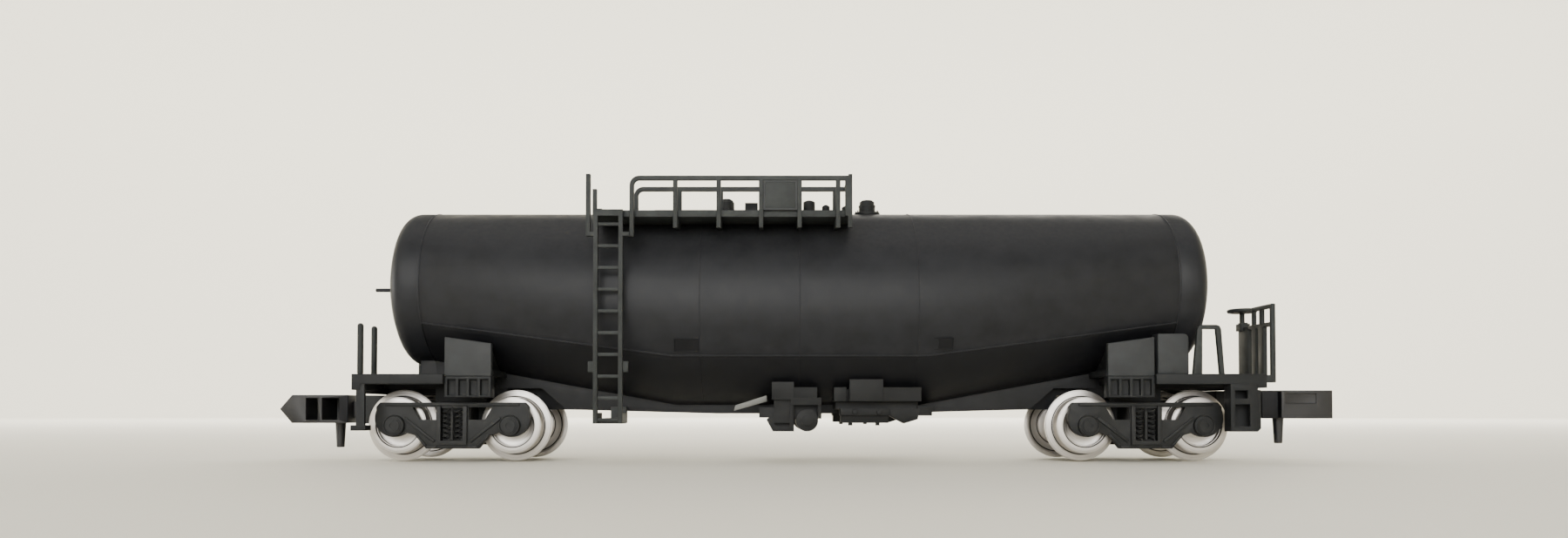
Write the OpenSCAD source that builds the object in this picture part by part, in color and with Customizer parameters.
// Bogie tank wagon with a fish-belly tank: a 1:150 scale model that runs on 9 mm track.
// Millimetres. +X is the hand-brake (front) end, -Y the right-hand side, +Z up, Z = 0 under the flanges.
// Lengths along the car are measured from midway between the bogie pivots, then on_car() centres them.

/* [Tank] */
// Outside radius of the middle of the tank
tank_r = 9.85; // [9.6:0.05:9.9]
// Outside radius where the tank meets its heads
tank_end_r = 7.7; // [7.4:0.05:7.9]
// Height of the tank's level top line
tank_top = 24.9; // [24.8:0.1:25.2]
// Half length of the straight middle of the tank
tank_mid = 12; // [11.5:0.5:12.5]
// Distance from the car's middle to each head's seam
tank_seam = 36; // [35.8:0.1:36.2]
// Wall thickness of the tank mouldings
tank_wall = 1.2; // [1:0.1:1.4]

/* [Running gear] */
// Distance from one bogie pivot to the other
bogie_centres = 66.1; // [66:0.1:66.4]
// Distance between the two axles of a bogie
wheelbase = 11; // [10.9:0.05:11.1]
// Radius of the wheel tread
tread_r = 2.8; // [2.75:0.05:2.85]
// Radius of the wheel flange, which is also the height of the axles
flange_r = 3.55; // [3.5:0.01:3.58]
// Distance between the backs of the two wheels of an axle
back_to_back = 7.4; // [7.3:0.05:7.5]

/* [Walkway and ladders] */
// Height of the walkway's top surface
deck_top = 23.47; // [23.4:0.05:23.6]
// Distance from the centre line to the outer railing and the ladders
rail_y = 9.9; // [9.8:0.05:10]
// Height of the railings' top bar
rail_top = 26.6; // [26.4:0.1:26.8]
// Spacing of the ladder rungs
rung_pitch = 2; // [1.95:0.05:2.05]

/* [Ends] */
// Height of the end platforms
platform_top = 8.4; // [8.35:0.05:8.5]
// Distance from the centre line to the edge of the end platforms
platform_y = 8.6; // [8.5:0.05:8.7]
// Distance from the car's middle to the rear end beam
rear_end = 41.85; // [41.8:0.05:42]
// Distance from the car's middle to the front end beam
front_end = 43.6; // [43.5:0.05:43.8]
// Distance from the car's middle to the tip of the rear coupler
rear_reach = 51.6; // [51.4:0.1:51.8]
// Distance from the car's middle to the tip of the front coupler
front_reach = 53.4; // [53.2:0.1:53.6]

/* [Hidden] */
$fn = 48;

tank_black = [0.17, 0.17, 0.18];
frame_grey = [0.24, 0.25, 0.25];
rail_grey = [0.33, 0.35, 0.33];
plate_grey = [0.34, 0.35, 0.35];
wheel_metal = [0.78, 0.75, 0.72];
steel = [0.5, 0.5, 0.48];

car_shift = (rear_reach - front_reach) / 2;
tank_axis = tank_top - tank_r;
end_axis = tank_top - tank_end_r;
tank_sides = 96;
head_knuckle = 1.5;
head_dish = 16;
head_flange = 1.55;
seam_drop = sin(30);
pivot_x = bogie_centres / 2;
rail_bar = 0.4;
deck_t = 0.6;
deck_rear = -19;
deck_front = 4.8;
deck_inner = 5.1;
inner_rail_y = 5.3;
ladder_t = 0.5;
ladder_x = [-19, -16.3];
ladder_foot = 3.77;
hook_z = 21;
post_x = [-11.5, -7.5, -3.6, -0.05, 3.5];
platform_t = 0.5;
channel_foot = 7.45;
sill_y = 2.6;
sill_foot = 4.7;
sill_step = 23;
sill_channel = 7.2;
saddle_foot = 8.2;
saddle_y = 8.2;
block_foot = 6.4;
bolster_top = 6;
pin_r = 0.9;
running_gap = 0.1;

module on_car() { translate([car_shift, 0, 0]) children(); }
module both_sides() { children(); mirror([0, 1, 0]) children(); }
module at_bogie(end) {
    on_car() translate([end * pivot_x, 0, 0]) rotate([0, 0, end > 0 ? 0 : 180]) children();
}
// a box from its low corner to its high corner
module slab(low, high) { translate(low) cube(high - low); }
module bar_x(r, x0, x1, y, z, sides = 48) {
    translate([x0, y, z]) rotate([0, 90, 0]) cylinder(r = r, h = x1 - x0, $fn = sides);
}
module bar_y(r, x, y0, y1, z) { translate([x, y0, z]) rotate([-90, 0, 0]) cylinder(r = r, h = y1 - y0); }
module plate_y(y0, y1) { translate([0, y1, 0]) rotate([90, 0, 0]) linear_extrude(y1 - y0) children(); }

// ---- tank ----

// the whole tank between its head seams: a straight middle and two ends that taper from below
module tank_form(inset = 0) {
    past = inset > 0 ? 1 : 0;
    hull() {
        bar_x(tank_r - inset, -tank_mid, tank_mid, 0, tank_axis, tank_sides);
        for (m = [0, 1]) mirror([m, 0, 0])
            bar_x(tank_end_r - inset, tank_seam - 0.02, tank_seam + past, 0, end_axis, tank_sides);
    }
}
module head_profile(inset) {
    r = tank_end_r - inset;
    knuckle = head_knuckle - inset * 0.75;
    dish = head_dish - inset;
    back = sqrt(pow(dish - knuckle, 2) - pow(r - knuckle, 2));
    square([head_flange, r]);
    intersection() {
        translate([head_flange, r - knuckle]) circle(knuckle);
        square([20, 20]);
    }
    intersection() {
        translate([head_flange - back, 0]) circle(dish);
        polygon([[head_flange, 0], [head_flange, r - knuckle],
                 [head_flange + 9, r - knuckle + 9 * (r - knuckle) / back], [head_flange + 9, 0]]);
    }
}
module tank_head() {
    translate([tank_seam, 0, end_axis]) rotate([0, 90, 0]) rotate([0, 0, 90])
        rotate_extrude() rotate([0, 0, 90]) mirror([0, 1, 0])
            difference() { head_profile(0); head_profile(tank_wall); }
}
module below_seam() {
    mid_z = tank_axis - tank_r * seam_drop;
    end_z = end_axis - tank_end_r * seam_drop;
    plate_y(-15, 15)
        polygon([[-tank_seam, 0], [tank_seam, 0], [tank_seam, end_z], [tank_mid, mid_z],
                 [-tank_mid, mid_z], [-tank_seam, end_z]]);
}
module tank_shell() {
    color(tank_black) on_car() difference() { tank_form(); tank_form(tank_wall); below_seam(); }
}
ballast_foot = 9.2;
module tank_belly() {
    color(tank_black) on_car() {
        intersection() {
            difference() { tank_form(); tank_form(tank_wall); }
            below_seam();
        }
        for (x = [-10, 10]) intersection() {
            slab([x - 0.6, -4, 5], [x + 0.6, 4, ballast_foot]);
            tank_form(tank_wall);
        }
    }
}
module tank_head_front() { color(tank_black) on_car() tank_head(); }
module tank_head_rear() { color(tank_black) on_car() mirror([1, 0, 0]) tank_head(); }
module ballast_weight() {
    color(steel) on_car() slab([-16, -4.5, ballast_foot], [16, 4.5, ballast_foot + 3.8]);
}

// ---- fittings on top of the tank ----

module on_top(x, r, z, foot = tank_top - 0.6) { translate([x, 0, foot]) cylinder(r = r, h = z - foot); }
module vent_dome() {
    color(frame_grey) on_car() difference() {
        union() { on_top(-7.2, 0.8, 26.65); on_top(-7.2, 1.1, 25.3); }
        tank_form();
    }
}
module valve_box() {
    color(frame_grey) on_car() difference() {
        slab([-5.3, -0.7, tank_top - 0.6], [-4, 0.7, 26.1]);
        tank_form();
    }
}
module manhole() {
    color(frame_grey) on_car() difference() {
        union() { on_top(-1.5, 1.7, 25.6); on_top(-1.5, 1.95, 25.9, 25.6); on_top(-1.5, 0.5, 26.3, 25.9); }
        tank_form();
    }
}
module gauge_pots() {
    color(frame_grey) on_car() difference() {
        union() { on_top(1.24, 0.7, 26.45); on_top(3.2, 0.75, 26); on_top(5, 0.5, 25.9); }
        tank_form();
    }
}
module vent_stack() {
    color(frame_grey) on_car() difference() {
        union() {
            on_top(7.15, 1.3, 25.2);
            translate([7.15, 0, 25.2]) cylinder(r1 = 0.95, r2 = 0.7, h = 1.3);
        }
        tank_form();
    }
}

// ---- walkway and ladders ----

module walkway() {
    on_car() difference() {
        union() {
            slab([deck_rear, -rail_y, deck_top - deck_t], [deck_front, -deck_inner, deck_top]);
            for (x = post_x) slab([x - 0.2, -rail_y + rail_bar, 22.2], [x + 0.2, -deck_inner, deck_top - deck_t]);
        }
        tank_form();
    }
}
module walkway_right() { color(rail_grey) walkway(); }
module walkway_left() { color(rail_grey) mirror([0, 1, 0]) walkway(); }

// an upright that bends into a bar running towards +X, drawn in the XZ plane
module bent_bar(x, foot, top, length, bend) {
    difference() {
        translate([x, foot]) square([bend, top - foot]);
        translate([x + rail_bar, foot - 1]) square([bend, top - foot - bend + 1]);
        difference() {
            translate([x - 1, top - bend]) square([bend + 1, bend + 1]);
            translate([x + bend, top - bend]) circle(bend);
        }
        translate([x + bend, top - bend]) circle(bend - rail_bar);
    }
    translate([x + bend, top - rail_bar]) square([length - bend, rail_bar]);
}
module outer_railing() {
    rear = -15.7;
    on_car() {
        plate_y(-rail_y - rail_bar, -rail_y) bent_bar(rear, hook_z, rail_top, 4.8 - rear, 0.9);
        for (x = concat(post_x, [4.6]))
            slab([x - rail_bar / 2, -rail_y - rail_bar, 21.8], [x + rail_bar / 2, -rail_y, rail_top]);
        slab([4.15, -rail_y - rail_bar, deck_top - deck_t], [4.5, -rail_y, rail_top - rail_bar / 2]);
        slab([4.45, -rail_y - rail_bar, rail_top - 0.1], [4.8, -rail_y, 26.75]);
    }
}
module outer_railing_right() { color(rail_grey) outer_railing(); }
module outer_railing_left() { color(rail_grey) mirror([0, 1, 0]) outer_railing(); }

module inner_railing() {
    y = -inner_rail_y;
    rear = -15.9;
    on_car() difference() {
        union() {
            plate_y(y - rail_bar, y) bent_bar(rear, deck_top, rail_top, 4.8 - rear, 0.9);
            for (x = post_x)
                slab([x - rail_bar / 2, y - rail_bar, deck_top], [x + rail_bar / 2, y, rail_top]);
            slab([4.4, -rail_y, rail_top - rail_bar], [4.8, y - rail_bar, rail_top]);
            slab([-19.9, y - rail_bar, tank_top - 0.4], [-19.5, y, 26.4]);
            slab([-19.9, y - rail_bar, tank_top - 2.1], [deck_rear, y, tank_top - 0.4]);
        }
        tank_form();
    }
}
module inner_railing_right() { color(rail_grey) inner_railing(); }
module inner_railing_left() { color(rail_grey) mirror([0, 1, 0]) inner_railing(); }

module sign_board() {
    on_car() slab([post_x[2] + rail_bar / 2, -rail_y - 0.3, deck_top - 0.05],
                  [post_x[3] - rail_bar / 2, -rail_y, rail_top - rail_bar]);
}
module sign_board_right() { color(rail_grey) sign_board(); }
module sign_board_left() { color(rail_grey) mirror([0, 1, 0]) sign_board(); }

module ladder(foot, rungs) {
    front_y = -rail_y - ladder_t;
    rear = ladder_x[0];
    front = ladder_x[1];
    on_car() {
        for (x = [rear, front - rail_bar])
            slab([x, front_y, foot], [x + rail_bar, -rail_y, deck_top]);
        for (i = [0:rungs - 1]) slab([rear + rail_bar, front_y + 0.1, foot + 0.2 + i * rung_pitch],
                             [front - rail_bar, -rail_y - 0.1, foot + 0.5 + i * rung_pitch]);
        slab([rear + rail_bar, front_y, deck_top - deck_t], [front - rail_bar, -rail_y, deck_top]);
        // the grab rail behind the rear stringer, and the hook under the railing's first upright
        slab([rear - 0.7, front_y, hook_z], [rear - 0.3, -rail_y, 26.75]);
        slab([rear - 0.3, front_y, hook_z], [rear, -rail_y, hook_z + rail_bar]);
        slab([front, front_y, hook_z], [-15.7, -rail_y, hook_z + rail_bar]);
        // tabs that stay the stringers on the underframe
        for (x = [rear - 0.5, front]) slab([x, -rail_y - 0.3, 8.5], [x + 0.5, -rail_y, 9.5]);
        // foot: two side plates, a tread, and the bracket that ties it to the sill
        for (x = [rear, front - rail_bar])
            slab([x, -rail_y, foot], [x + rail_bar, -rail_y + 2.4, foot + 1]);
        slab([rear + rail_bar, -rail_y, foot], [front - rail_bar, -rail_y + 2.4, foot + 0.4]);
        slab([rear + 0.6, -rail_y + 2.4, foot], [front - 0.6, -sill_y, foot + 0.5]);
        slab([rear + 0.6, -sill_y - 1, foot + 0.5], [front - 0.6, -sill_y, min(foot + 1.6, 6.2)]);
    }
}
module ladder_right() { color(rail_grey) ladder(ladder_foot, 10); }
module ladder_left() { color(rail_grey) mirror([0, 1, 0]) ladder(ladder_foot + rung_pitch - 0.5, 9); }

// ---- underframe ----

module sill_outline() {
    back = -(rear_end - 0.85);
    front = front_end - 0.85;
    under = platform_top - platform_t;
    polygon([[-sill_step, sill_foot + 0.4], [-8, sill_foot], [8, sill_foot], [sill_step, sill_foot + 0.4],
             [sill_step + 2.4, sill_channel],
             [front, sill_channel], [front, under], [37.4, under], [37.4, 12], [-37.4, 12],
             [-37.4, under], [back, under], [back, sill_channel], [-sill_step - 2.4, sill_channel]]);
}
module tank_whole() {
    tank_form();
    for (m = [0, 1]) mirror([m, 0, 0]) translate([tank_seam, 0, end_axis]) rotate([0, 90, 0])
        cylinder(r = tank_end_r, h = head_flange + 0.4);
}
module sill_solid() {
    plate_y(-sill_y, sill_y) sill_outline();
    // the keel's ends, narrow enough for the wheels to swing past
    plate_y(-1.2, 1.2) for (m = [0, 1]) mirror([m, 0])
        polygon([[sill_step - 1, sill_foot + 0.4], [sill_step + 2.3, sill_foot + 0.4],
                 [sill_step + 3.5, sill_channel + 0.1], [sill_step - 1, sill_channel + 0.1]]);
    for (m = [0, 1]) mirror([m, 0, 0]) slab([sill_step + 2, -1.2, 6.6], [sill_step + 6.5, 1.2, sill_channel + 0.1]);
    // the draught boxes' covers over the coupler pockets
    slab([35, -1.6, 6.6 + front_lift], [front_end - 0.85, 1.6, sill_channel + 0.1]);
    slab([0.85 - rear_end, -1.6, 6.6], [-35, 1.6, sill_channel + 0.1]);
}
module centre_sill() {
    color(frame_grey) difference() {
        union() {
            on_car() difference() { sill_solid(); tank_whole(); }
            for (end = [-1, 1]) at_bogie(end) {
                slab([-2.5, -3.8, bolster_top + 0.15], [2.5, 3.8, sill_channel + 0.1]);
                both_sides() slab([-2.5, -3.8, side_top + 0.1], [2.5, -3.5, bolster_top + 0.2]);
                slab([-4.2, -2.4, bolster_top + 0.15], [-2.4, 2.4, sill_channel + 0.1]);
            }
        }
        for (end = [-1, 1]) at_bogie(end) translate([0, 0, 5]) cylinder(r = pin_r, h = 3.2);
    }
}
module end_frame(end, reach) {
    beam = 0.85;
    inner = 33.3;
    on_car() mirror([end > 0 ? 0 : 1, 0, 0]) difference() {
        union() {
            slab([inner, -platform_y, platform_top - platform_t], [reach - beam, platform_y, platform_top]);
            for (y = [-platform_y, platform_y - 0.7])
                slab([inner, y, channel_foot], [reach - beam, y + 0.7, platform_top - platform_t]);
            slab([reach - beam, -platform_y, end > 0 ? 7.1 : 6.9], [reach, platform_y, platform_top]);
            // the beam's deeper middle, just over the coupler pocket
            slab([reach - 0.6, -6.2, end > 0 ? 6.6 + front_lift : 6.6], [reach - 0.1, 6.2, 7.2]);
        }
        plate_y(-sill_y, sill_y) polygon([[30, 5], [37.4, 5], [37.4, 12], [30, 12]]);
    }
}
module end_frame_front() { color(frame_grey) end_frame(1, front_end); }
module end_frame_rear() { color(frame_grey) end_frame(-1, rear_end); }

saddle_in = 28.9;
saddle_out = 33.3;
saddle_web = 0.6;
module saddle_plates(end) {
    on_car() mirror([end > 0 ? 0 : 1, 0, 0]) both_sides() plate_y(-saddle_y, -saddle_y + saddle_web)
        polygon([[saddle_in, saddle_foot], [saddle_out, saddle_foot], [saddle_out, 11.9], [saddle_in, 11.3]]);
}
module saddle_webs(end) {
    side = saddle_y - saddle_web;
    on_car() mirror([end > 0 ? 0 : 1, 0, 0]) difference() {
        union() {
            for (x = [saddle_in + 0.5, saddle_out - saddle_web])
                slab([x, -side, saddle_foot], [x + saddle_web, side, 11.2]);
            slab([saddle_in, -side, saddle_foot], [saddle_out - saddle_web, side, saddle_foot + saddle_web]);
        }
        tank_form();
        slab([20, -sill_y, 0], [40, sill_y, 30]);
    }
}
module saddle_plates_front() { color(plate_grey) saddle_plates(1); }
module saddle_plates_rear() { color(plate_grey) saddle_plates(-1); }
module saddle_webs_front() { color(frame_grey) saddle_webs(1); }
module saddle_webs_rear() { color(frame_grey) saddle_webs(-1); }

module bolster_blocks(end) {
    depth = 1.2;
    rib = 0.3;
    bays = 4;
    on_car() mirror([end > 0 ? 0 : 1, 0, 0]) both_sides() {
        slab([saddle_in, -saddle_y + 0.4, block_foot], [saddle_out, -saddle_y + depth, saddle_foot]);
        for (i = [0:bays]) translate([saddle_in + i * (saddle_out - saddle_in - rib) / bays, -saddle_y, block_foot])
            cube([rib, 0.4, saddle_foot - block_foot]);
        slab([saddle_in, -saddle_y, block_foot - 0.2], [saddle_out, -saddle_y + depth, block_foot]);
        slab([saddle_in, -saddle_y, saddle_foot - 0.3], [saddle_out, -saddle_y + 0.4, saddle_foot]);
        // the arm that ties the block to the sill above the wheels
        slab([saddle_in + 1, -saddle_y + depth, channel_foot], [saddle_out - 1, -sill_y, saddle_foot]);
    }
}
module bolster_blocks_front() { color(frame_grey) bolster_blocks(1); }
module bolster_blocks_rear() { color(frame_grey) bolster_blocks(-1); }

module equipment_boxes() {
    color(plate_grey) on_car() both_sides() plate_y(-saddle_y, -saddle_y + 1.6) {
        translate([33.6, platform_top]) square([2.4, 3.8]);
        translate([33.6, platform_top]) square([2.9, 3.3]);
        translate([36, platform_top + 3.3]) circle(0.5);
    }
}

// ---- ends ----

module steps_front() {
    color(frame_grey) on_car() both_sides() translate([0, -platform_y, 0]) {
        plate_y(1.1, 1.4) polygon([[40.2, 7.1], [42.6, 7.1], [42.6, 3.2], [40.2, 3.2]]);
        for (x = [40.2, 42.3]) slab([x, 0.3, 3.2], [x + 0.3, 1.3, 7.1]);
        slab([40.3, 0.3, 5.6], [42.5, 1.3, 6]);
        plate_y(0, 0.4) difference() {
            polygon([[40.2, channel_foot], [42.75, channel_foot], [42.75, 6.9], [43, 6.9], [43, 3.3],
                     [42.7, 3], [40.2, 3]]);
            translate([40.6, 6.1]) square([1.2, 0.75]);
            translate([40.6, 3.5]) square([1.4, 2.05]);
        }
        slab([40.2, 0.4, 3], [42.7, 1.4, 3.4]);
        slab([40.2, 0.4, 6.95], [42.6, 1.4, channel_foot]);
    }
}
module steps_rear() {
    color(frame_grey) on_car() both_sides() {
        slab([-41.4, -platform_y, 3.6], [-40.6, -platform_y + 0.4, 6.9]);
        slab([-41, -platform_y, 6.9], [-40.6, -platform_y + 0.4, channel_foot]);
        slab([-41.9, -platform_y, 3.1], [-40.5, -platform_y + 1.4, 3.6]);
    }
}
module stirrup_rails_front() {
    foot = platform_top;
    top = 13;
    color(rail_grey) on_car() both_sides() translate([0, -platform_y, 0]) plate_y(0.1, 0.5) {
        polygon([[36.8, foot], [37.6, foot], [37.65, top - 0.4], [37.2, top - 0.4]]);
        polygon([[39.3, foot], [39.7, foot], [39.4, top - 0.4], [38.95, top - 0.4]]);
        polygon([[37.2, top - 0.4], [39.4, top - 0.4], [39.25, top - 0.1], [38.95, top], [37.65, top],
                 [37.35, top - 0.1]]);
    }
}
module posts_rear() {
    color(rail_grey) on_car() for (y = [-8.25, -4.95, 8.25]) {
        translate([-41.15, y, platform_top]) cylinder(r = 0.28, h = 4.5);
        translate([-41.15, y, platform_top + 4.5]) sphere(r = 0.28);
    }
}
// uprights, top rail and mid rail stand off the front beam, on the hand-brake side only
module end_railing_front() {
    x = front_end;
    inner = x + 0.5;
    outer = x + 0.9;
    color(rail_grey) on_car() {
        for (y = [[-8.5, -8.1], [-6.9, -5.9], [-5.5, -4.6]]) {
            slab([inner, y[0], 7.6], [outer, y[1], y[0] < -8 ? 15 : 13.3]);
            slab([x, y[0], 7.6], [inner, y[1], 8.3]);
        }
        slab([inner, -6.5, 13.3], [outer, -6.1, 14.6]);
        slab([inner, -4.9, 13.3], [outer, -4.6, 14.6]);
        slab([inner, -8.5, 14.6], [outer, -4.6, 15]);
        slab([inner, -8.1, 12.9], [outer, -6.9, 13.3]);
        slab([inner, -5.9, 12.9], [outer, -5.5, 13.3]);
        slab([inner, -4.6, 12.9], [outer, -3.9, 13.3]);
    }
}
// a flat hand wheel on an upright spindle, carried by its own column on the beam
module brake_wheel() {
    x = front_end;
    y = -2;
    color(rail_grey) on_car() {
        slab([x, y - 1.9, 7.6], [x + 0.5, y - 0.1, 8.3]);
        slab([x + 0.5, y - 1.9, 7.6], [x + 0.9, y + 0.1, 13.2]);
        slab([x + 0.3, y - 0.9, 12.9], [x + 1.2, y + 0.2, 13.6]);
        translate([x + 0.7, y - 0.3, 13.6]) cylinder(r = 0.25, h = 1.1);
        translate([x + 0.7, y - 0.3, 14.7]) {
            difference() { cylinder(r = 1.4, h = 0.4); translate([0, 0, -1]) cylinder(r = 1.1, h = 3); }
            cylinder(r = 0.4, h = 0.4);
            for (i = [0:2]) rotate([0, 0, i * 60]) translate([-1.2, -0.12, 0.05]) cube([2.4, 0.24, 0.3]);
        }
    }
}

// ---- brake gear under the belly ----

module under_tank() { difference() { children(); on_car() tank_form(); } }
// rear group: relay boxes over an open frame, and a brake cylinder lying across the car
module brake_cylinder_gear() {
    color(frame_grey) under_tank() on_car() both_sides() {
        slab([-2.6, -7.2, 6], [-0.5, -3.5, 7.7]);
        slab([-0.5, -7, 6.2], [1.7, -3.5, 7.2]);
        slab([-0.8, -7.2, 5.5], [2.1, -3.5, 6.2]);
        slab([-2.4, -6.9, 4.3], [-0.8, -3.5, 6]);
        slab([-0.9, -7.1, 3], [-0.5, -6.2, 5.5]);
        slab([-3.8, -6.6, 4.3], [-2.4, -3.5, 5.3]);
        slab([1.75, -7.1, 4.2], [2.1, -6.2, 5.5]);
        slab([-0.7, -6.3, 4.2], [2, -3.5, 5.6]);
        plate_y(-6.9, -6.2) polygon([[-2.8, 4.3], [-0.9, 4.3], [-0.9, 3.8], [-2.4, 3.8], [-2.1, 3.4], [-0.9, 3.4],
                                     [-0.9, 3], [-2.5, 3], [-3.1, 4.1]]);
        slab([-2.6, -6.3, 3.2], [-0.7, -5.6, 4.4]);
        slab([-2.8, -3.5, 4.7], [2.2, -sill_y, 5.6]);
        bar_y(1.05, 0.75, -7, -3.2, 4.05);
        bar_y(0.55, 0.75, -7.2, -7, 4.05);
    }
}
// front group: a stepped row of boxes above a hanger with pins and a pointed lever
module brake_valve_gear() {
    color(frame_grey) under_tank() on_car() both_sides() {
        slab([4.75, -7.3, 5.85], [7.95, -4, 7.95]);
        slab([3.3, -7, 5.85], [4.5, -4, 7.2]);
        slab([7.95, -7, 5.85], [11.6, -4, 7.2]);
        slab([4.5, -6.6, 5.85], [4.75, -4, 7]);
        slab([3.5, -6, 5.1], [11.4, -sill_y, 5.85]);
        slab([3.9, -6.9, 4.5], [8.6, -5, 5.2]);
        slab([4, -6.6, 3.8], [8.5, -5, 4.5]);
        for (x = [5.3, 7.6]) bar_y(0.25, x, -7.1, -6.9, 4.85);
        for (x = [4.9, 7.5]) translate([x, -6.2, 3.55]) cylinder(r = 0.2, h = 0.25);
        plate_y(-6.6, -5.4) polygon([[8.6, 5.2], [8.6, 4.5], [10, 3.75], [11.3, 4.15], [11.5, 5.2]]);
        slab([11.4, -6.4, 4.5], [12.7, -5.6, 4.9]);
        slab([11.3, -6.4, 4.9], [13, -sill_y, 5.4]);
    }
}
module release_levers() {
    color(steel) on_car() both_sides() plate_y(-5.6, -5.2)
        polygon([[-6.25, 4.95], [-6.1, 5.5], [-3.1, 6.45], [-3.05, 5.85]]);
}

// ---- bogies: in each bogie's own frame +X points to the nearer end of the car ----

module pivot_screw(end) {
    at_bogie(end) {
        translate([0, 0, 2.6]) cylinder(r = pin_r, h = 5.6);
        translate([0, 0, 2.1]) cylinder(r = 1.3, h = 0.5);
    }
}
module pivot_screw_front() { color(steel) pivot_screw(1); }
module pivot_screw_rear() { color(steel) pivot_screw(-1); }

frame_in = 5.85;
frame_out = 6.5;
axle_tip = 6.2;
axle_end_r = 0.5;
pocket_setback = 7.8;
front_lift = 0.45;
side_top = 5.75;
module side_outline() {
    half = wheelbase / 2;
    difference() {
        for (m = [0, 1]) mirror([m, 0]) {
            translate([half + 0.1, side_top - 1.5]) circle(1.8);
            polygon([[-0.1, 1.35], [2.5, 1.35], [half - 2, 2.6], [half, 3.2], [half + 1.6, 4.2], [half + 1.75, 4.8],
                     [half + 1.75, side_top - 0.4], [half + 1.4, side_top], [-0.1, side_top]]);
        }
        for (m = [0, 1]) mirror([m, 0]) polygon([[1.55, 4.1], [3.1, 4.1], [3.8, 5.3], [1.55, 5.3]]);
        translate([-10, side_top]) square([20, 3]);
    }
}
module bogie_frame(reach, lift) {
    pocket_face = reach - pocket_setback;
    pocket_back = pocket_face - 4;
    difference() {
        union() {
            both_sides() {
                plate_y(-frame_out, -frame_in) side_outline();
                for (x = [-1, 1] * wheelbase / 2) bar_y(1, x, -frame_out - 0.3, -frame_out, flange_r);
                for (x = [-1.45, 1.05]) slab([x, -frame_out - 0.25, 2.1], [x + 0.4, -frame_out, 5.4]);
                slab([-1.45, -frame_out - 0.25, 1.7], [1.45, -frame_out, 2.1]);
            }
            slab([-1.4, -frame_in, 2.7], [1.4, frame_in, side_top]);
            // narrow enough that its corners stay between the sill's skirts as the bogie turns
            slab([-3.7, -2.7, 3.6], [3.7, 2.7, bolster_top]);
            slab([1.4, -1.9, 4.7], [pocket_back, 1.9, 5.9]);
            slab([pocket_back, -2.4, 3.7 + lift], [pocket_face, 2.4, 6.5 + lift]);
        }
        for (y = [-1, 1]) mirror([0, y > 0 ? 1 : 0, 0]) for (x = [-1, 1] * wheelbase / 2)
            bar_y(axle_end_r + running_gap, x, -axle_tip - running_gap, 0, flange_r);
        translate([0, 0, 1]) cylinder(r = pin_r + running_gap, h = 6);
        translate([0, 0, 2]) cylinder(r = 1.5, h = 0.75);
        both_sides() slab([-1.05, -frame_out - 1, 2.1], [1.05, -frame_out + 0.45, 5.2]);
        // the slot that the coupler's shank swings in
        slab([pocket_back + 0.5, -1.9, 4.1 + lift], [pocket_face + 1, 1.9, 6.1 + lift]);
    }
    translate([pocket_back + 1.9, 0, 4.1 + lift]) cylinder(r = 0.5, h = 2);
}
module bogie_frame_front() { color(frame_grey) at_bogie(1) bogie_frame(front_reach - pivot_x, front_lift); }
module bogie_frame_rear() { color(frame_grey) at_bogie(-1) bogie_frame(rear_reach - pivot_x, 0); }

module wheel_outline() {
    back = back_to_back / 2;
    polygon([[0.5, back + 0.5], [0.5, back + 2], [1, back + 2], [1.3, back + 1.2], [2, back + 1.2],
             [2.2, back + 2.05], [tread_r - 0.05, back + 2.05], [tread_r, back + 1.9], [tread_r + 0.1, back + 0.6],
             [flange_r - 0.15, back + 0.5], [flange_r, back + 0.35], [flange_r, back + 0.15],
             [flange_r - 0.1, back], [2.3, back], [2, back + 0.5]]);
}
module wheel_pair(x) { translate([x, 0, flange_r]) both_sides() rotate([-90, 0, 0]) rotate_extrude() wheel_outline(); }
module axle(x) {
    translate([x, 0, flange_r]) {
        both_sides() {
            translate([0, 0, 0]) rotate([-90, 0, 0]) cylinder(r = axle_end_r, h = axle_tip);
            rotate([-90, 0, 0]) cylinder(r = 0.75, h = back_to_back / 2 + 0.5);
        }
    }
}
module wheels_1() { color(wheel_metal) at_bogie(1) wheel_pair(wheelbase / 2); }
module wheels_2() { color(wheel_metal) at_bogie(1) wheel_pair(-wheelbase / 2); }
module wheels_3() { color(wheel_metal) at_bogie(-1) wheel_pair(-wheelbase / 2); }
module wheels_4() { color(wheel_metal) at_bogie(-1) wheel_pair(wheelbase / 2); }
module axle_1() { color(steel) at_bogie(1) axle(wheelbase / 2); }
module axle_2() { color(steel) at_bogie(1) axle(-wheelbase / 2); }
module axle_3() { color(steel) at_bogie(-1) axle(-wheelbase / 2); }
module axle_4() { color(steel) at_bogie(-1) axle(wheelbase / 2); }

// ---- couplers ----

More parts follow.
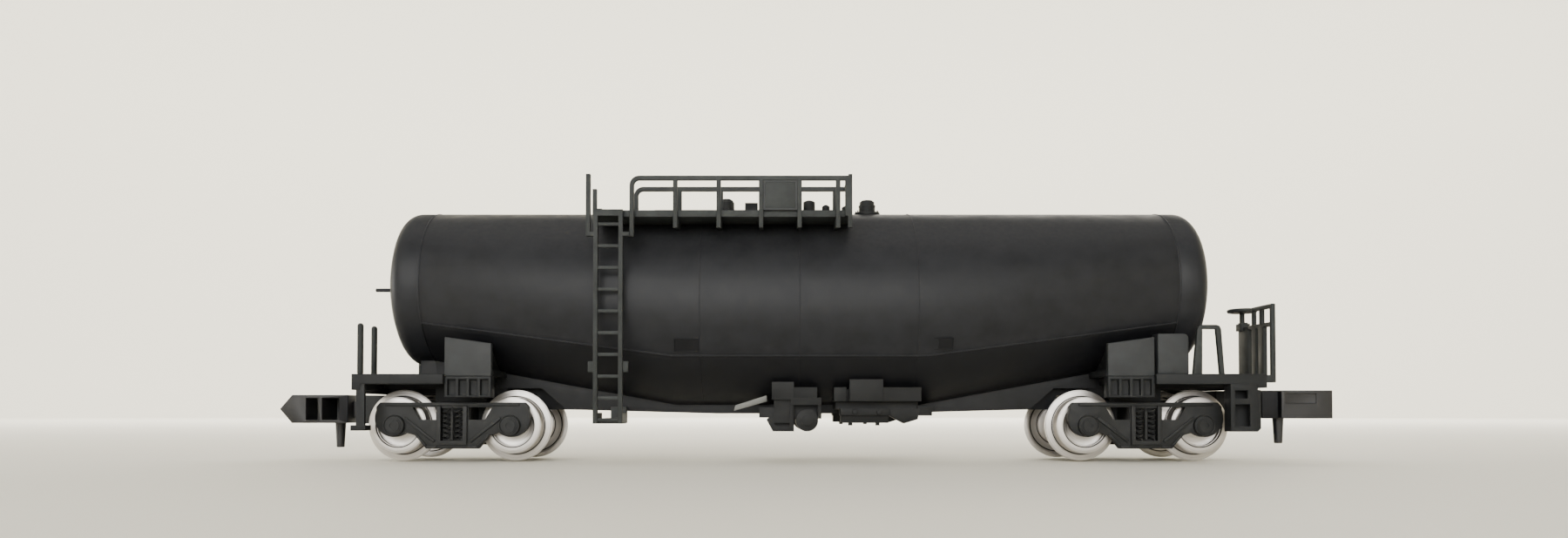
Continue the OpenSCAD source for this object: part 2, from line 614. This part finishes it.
module coupler(reach, lift) {
    pin_x = reach - pocket_setback - 2.1;
    head = reach - 6.8;
    foot = 3.75;
    top = 6.55;
    skin = 0.3;
    translate([0, 0, lift]) difference() {
        union() {
            slab([pin_x, -0.8, 4.3], [head, 0.8, 5.9]);
            translate([pin_x, 0, 4.3]) cylinder(r = 0.95, h = 1.6);
            slab([head, -2.2, foot], [reach - 1.2, 2.2, top]);
            slab([reach - 1.2, -2.2, foot], [reach - 0.1, -1.5, top]);
            plate_y(-0.4, 2.2) polygon([[reach - 1.3, foot], [reach - 1.2, foot], [reach, (foot + top) / 2],
                                        [reach - 1.2, top], [reach - 1.3, top]]);
            translate([head + 1.95, -0.75, 1.25]) cylinder(r1 = 0.38, r2 = 0.52, h = 2.65);
        }
        translate([pin_x, 0, 4]) cylinder(r = 0.6, h = 3);
        // the hook side is open in two bays, and the plate side has a shallow slot
        slab([head + 0.9, -1.3, foot + skin], [head + 2.6, 3, top - skin]);
        slab([head + 3, -1.3, foot + skin], [head + 4.2, 3, top - skin]);
        slab([head - 1, -3, foot - 1], [head + 1.6, -1.5, top + 1]);
        slab([head + 2, -3, (foot + top) / 2 + 0.1], [reach - 1.7, -2.05, top - skin]);
        // gap that lets the next car's hook in beside the nose
        slab([head + 4.2, -1.5, foot - 1], [reach + 1, -0.4, top + 1]);
    }
}
module coupler_front() { color(frame_grey) at_bogie(1) coupler(front_reach - pivot_x, front_lift); }
module coupler_rear() { color(frame_grey) at_bogie(-1) coupler(rear_reach - pivot_x, 0); }

tank_shell();
tank_belly();
tank_head_front();
tank_head_rear();
ballast_weight();
vent_dome();
valve_box();
manhole();
gauge_pots();
vent_stack();
walkway_right();
walkway_left();
outer_railing_right();
outer_railing_left();
inner_railing_right();
inner_railing_left();
sign_board_right();
sign_board_left();
ladder_right();
ladder_left();
centre_sill();
end_frame_front();
end_frame_rear();
saddle_plates_front();
saddle_plates_rear();
saddle_webs_front();
saddle_webs_rear();
bolster_blocks_front();
bolster_blocks_rear();
equipment_boxes();
steps_front();
steps_rear();
stirrup_rails_front();
posts_rear();
end_railing_front();
brake_wheel();
brake_cylinder_gear();
brake_valve_gear();
release_levers();
pivot_screw_front();
pivot_screw_rear();
bogie_frame_front();
bogie_frame_rear();
wheels_1();
wheels_2();
wheels_3();
wheels_4();
axle_1();
axle_2();
axle_3();
axle_4();
coupler_front();
coupler_rear();
